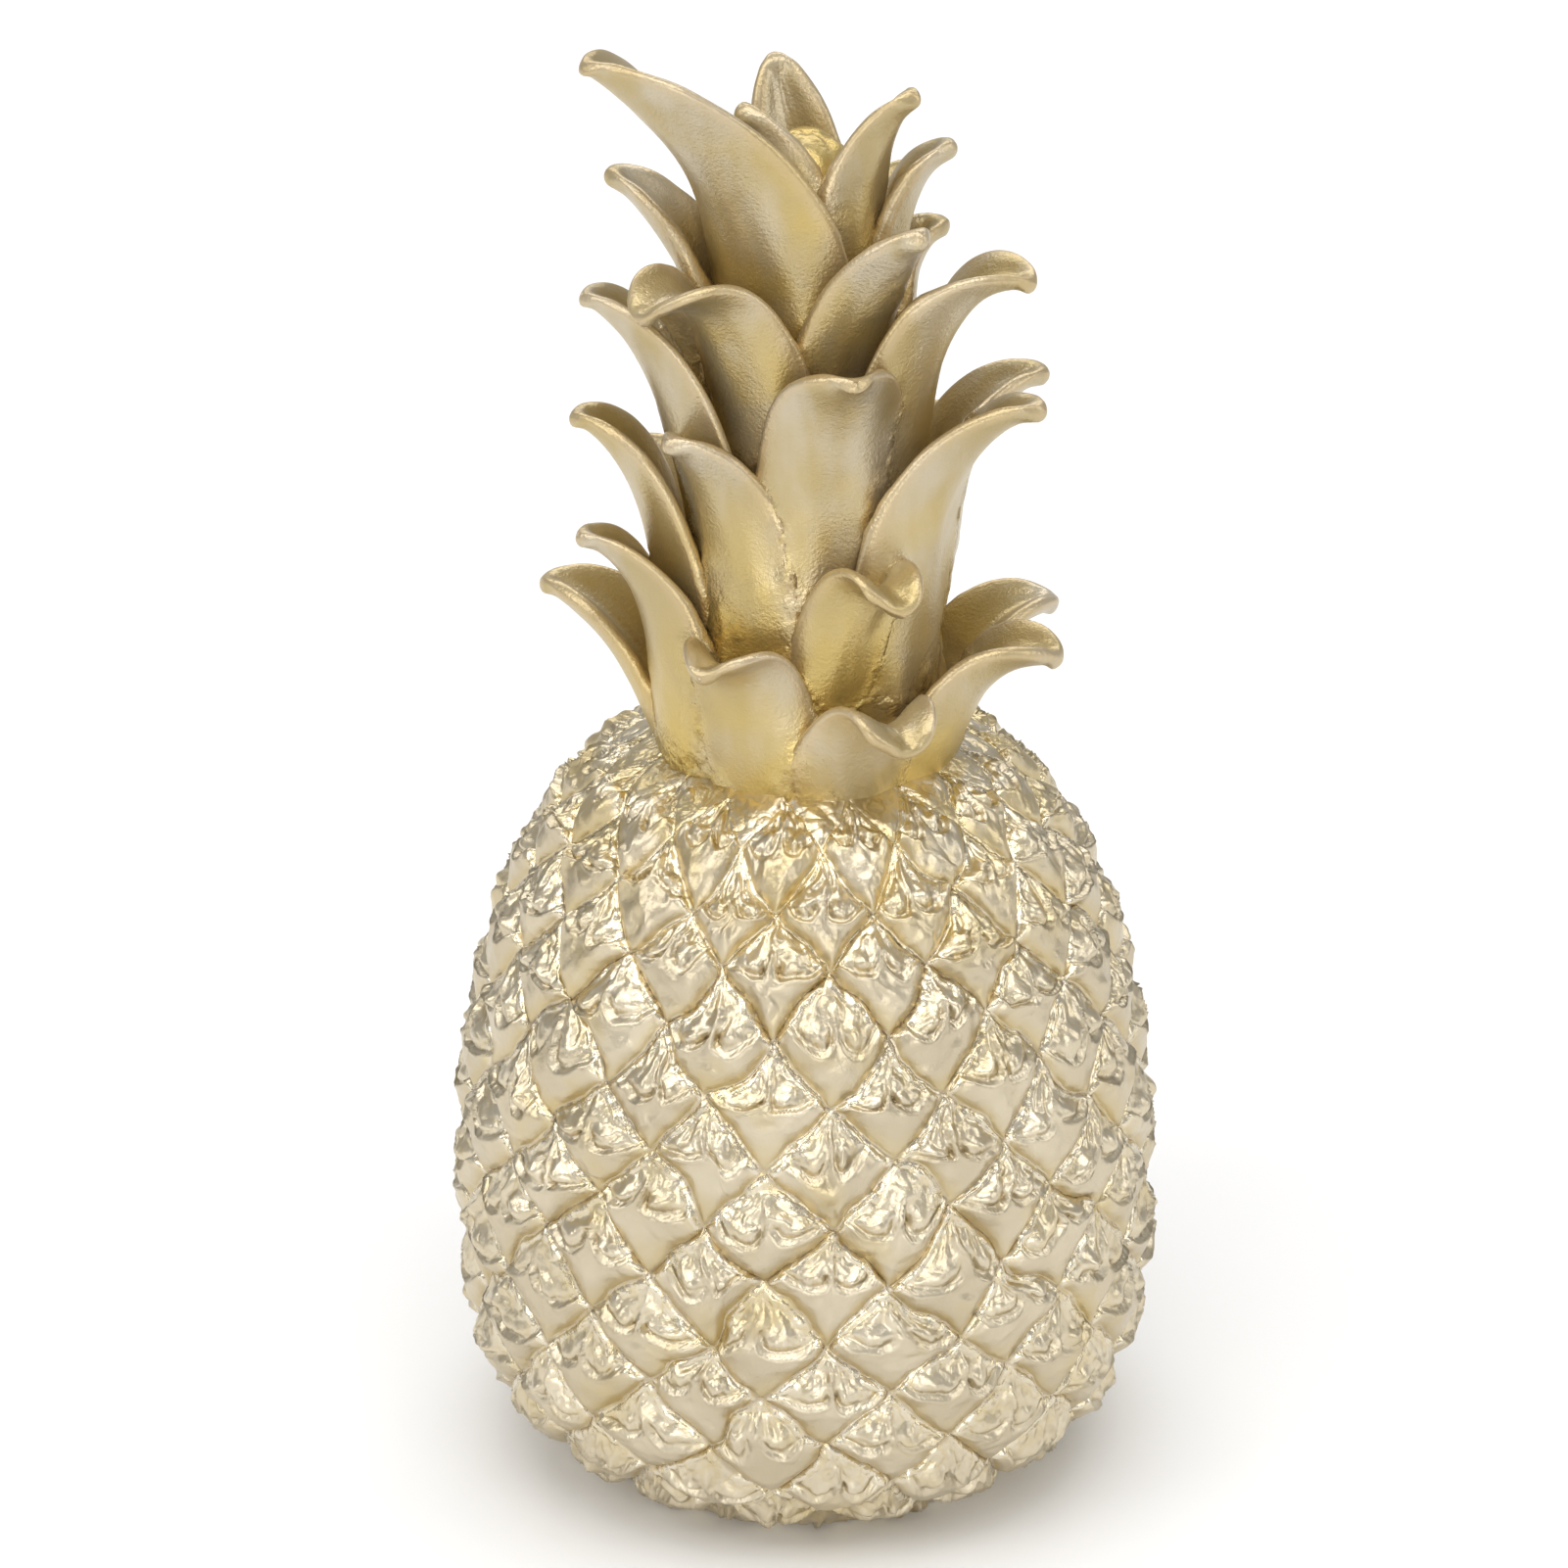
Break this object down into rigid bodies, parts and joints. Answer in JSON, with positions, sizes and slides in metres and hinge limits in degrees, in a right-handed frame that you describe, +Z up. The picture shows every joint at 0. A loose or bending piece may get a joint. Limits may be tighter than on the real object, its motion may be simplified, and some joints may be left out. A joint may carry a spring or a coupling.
{
  "type": "decorative pineapple",
  "caption": "Standing decorative pineapple, cast in one piece: fruit carved with diamond eyes, flat underside and a tall crown of pointed, outward curling leaves.",
  "frame": {"origin": "centre of the flat underside", "axes": "+Z up the fruit and its crown, -Y towards the viewer of the picture"},
  "size_m": [0.1421, 0.1417, 0.2989],
  "materials": {
    "gold_paint": "metallic champagne gold paint on cast resin, glossier on the fruit and satin on the leaves"
  },
  "bodies": {
    "root": {"pineapple": "gold_paint"}
  },
  "joints": []
}
